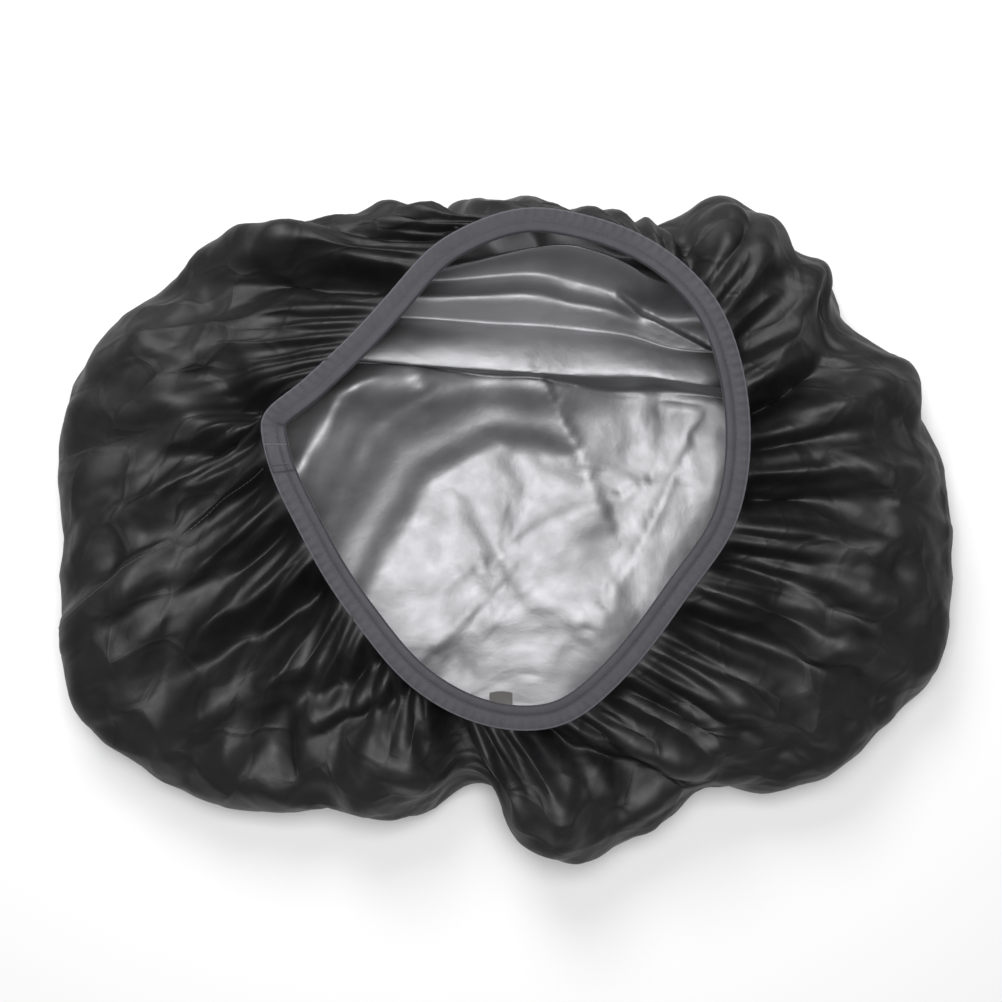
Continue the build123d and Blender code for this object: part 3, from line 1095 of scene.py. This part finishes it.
# How far the label's end swings in from its seam, and how far its sides curl back.
LABEL_SWING = 0.011
LABEL_CURL = 0.0014
label_low, label_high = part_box("care_label")
label_width, label_length = label_high.x - label_low.x, label_high.z - label_low.z


def make_label():
    """The care label, which hangs from the tape and curves in under the mouth."""
    across, down = np.meshgrid(np.linspace(-1, 1, 15), np.linspace(0, 1, 25), indexing="ij")
    x = (label_low.x + label_high.x) / 2 + across * label_width / 2
    y = (label_low.y + label_high.y) / 2 + LABEL_SWING * down**1.5 - LABEL_CURL * across**2 * down
    z = label_high.z - 0.93 * label_length * down
    grid = np.stack([x, y, z], -1)
    pattern = np.stack([across * label_width / 2, down * label_length], -1)
    materials = [label_satin]
    return sheet_object("care_label_ribbon", grid, pattern, LABEL_THICKNESS, materials, closed=False)


def make_label_stitches():
    """The row of stitches that holds the label, on the underside of the tape."""
    low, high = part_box("label_thread")
    across = np.linspace(low.x, high.x, 40)[:, None]
    path = across * [1.0, 0.0, 0.0] + [0.0, low.y, high.z - THREAD_RADIUS]
    down = np.tile([0.0, 0.0, -1.0], (len(path), 1))
    return stitch_row("label_stitches", path, down, thread, closed=False)


label = make_label()
label_stitches = make_label_stitches()

blended(face_panel, "lining", "face_panel")
blended(band_panel, "outer_cloth", "band_panel")
blended(join_stitches, "thread", "band_join_stitches")
blended(needle_seam, "thread", "face_seam_needle_row")
blended(bobbin_seam, "thread", "face_seam_bobbin_row")
riding(tape, "mouth", "binding", "binding_tape")
riding(lap, "mouth", "binding", "binding_lap")
riding(elastic, "mouth", "elastic", "elastic")
riding(needle_row, "mouth", "thread", "binding_needle_row")
riding(bobbin_row, "mouth", "thread", "binding_bobbin_row")
riding(bar_tack, "mouth", "thread", "bar_tack")
riding(label_stitches, "mouth", "thread", "label_thread")
riding(label, "label", "label", "care_label")


# ---------------- floor, light and camera

bpy.ops.mesh.primitive_plane_add(size=12)
floor = bpy.context.object
floor.name = "floor"
floor.data.materials.append(new_material("floor", (0.86, 0.86, 0.86), 0.7))

world = bpy.data.worlds.new("studio")
bpy.context.scene.world = world
world.use_nodes = True
world.node_tree.nodes["Background"].inputs["Color"].default_value = (1, 1, 1, 1)
world.node_tree.nodes["Background"].inputs["Strength"].default_value = 0.13


def aim(placed, target):
    placed.rotation_mode = "QUATERNION"
    placed.rotation_quaternion = (Vector(target) - placed.location).to_track_quat("-Z", "Y")
    bpy.context.scene.collection.objects.link(placed)


def area_light(name, place, size, power):
    light = bpy.data.lights.new(name, "AREA")
    light.size = size
    light.energy = power
    placed = bpy.data.objects.new(name, light)
    placed.location = place
    aim(placed, (0, 0, 0))


area_light("key", (-0.35, 1.15, 1.40), 0.8, 18)
area_light("overhead", (0.00, 0.10, 2.20), 1.1, 44)

CAMERA_ELEVATION = math.radians(87)
CAMERA_DISTANCE = 1.503
CAMERA_TARGET = Vector((-0.002, 0.020, 0.05))
camera = bpy.data.objects.new("camera", bpy.data.cameras.new("camera"))
camera.data.lens = 60
direction = Vector((0, -math.cos(CAMERA_ELEVATION), math.sin(CAMERA_ELEVATION)))
camera.location = CAMERA_TARGET + direction * CAMERA_DISTANCE
aim(camera, CAMERA_TARGET)
bpy.context.scene.camera = camera
bpy.context.scene.view_settings.view_transform = "Standard"
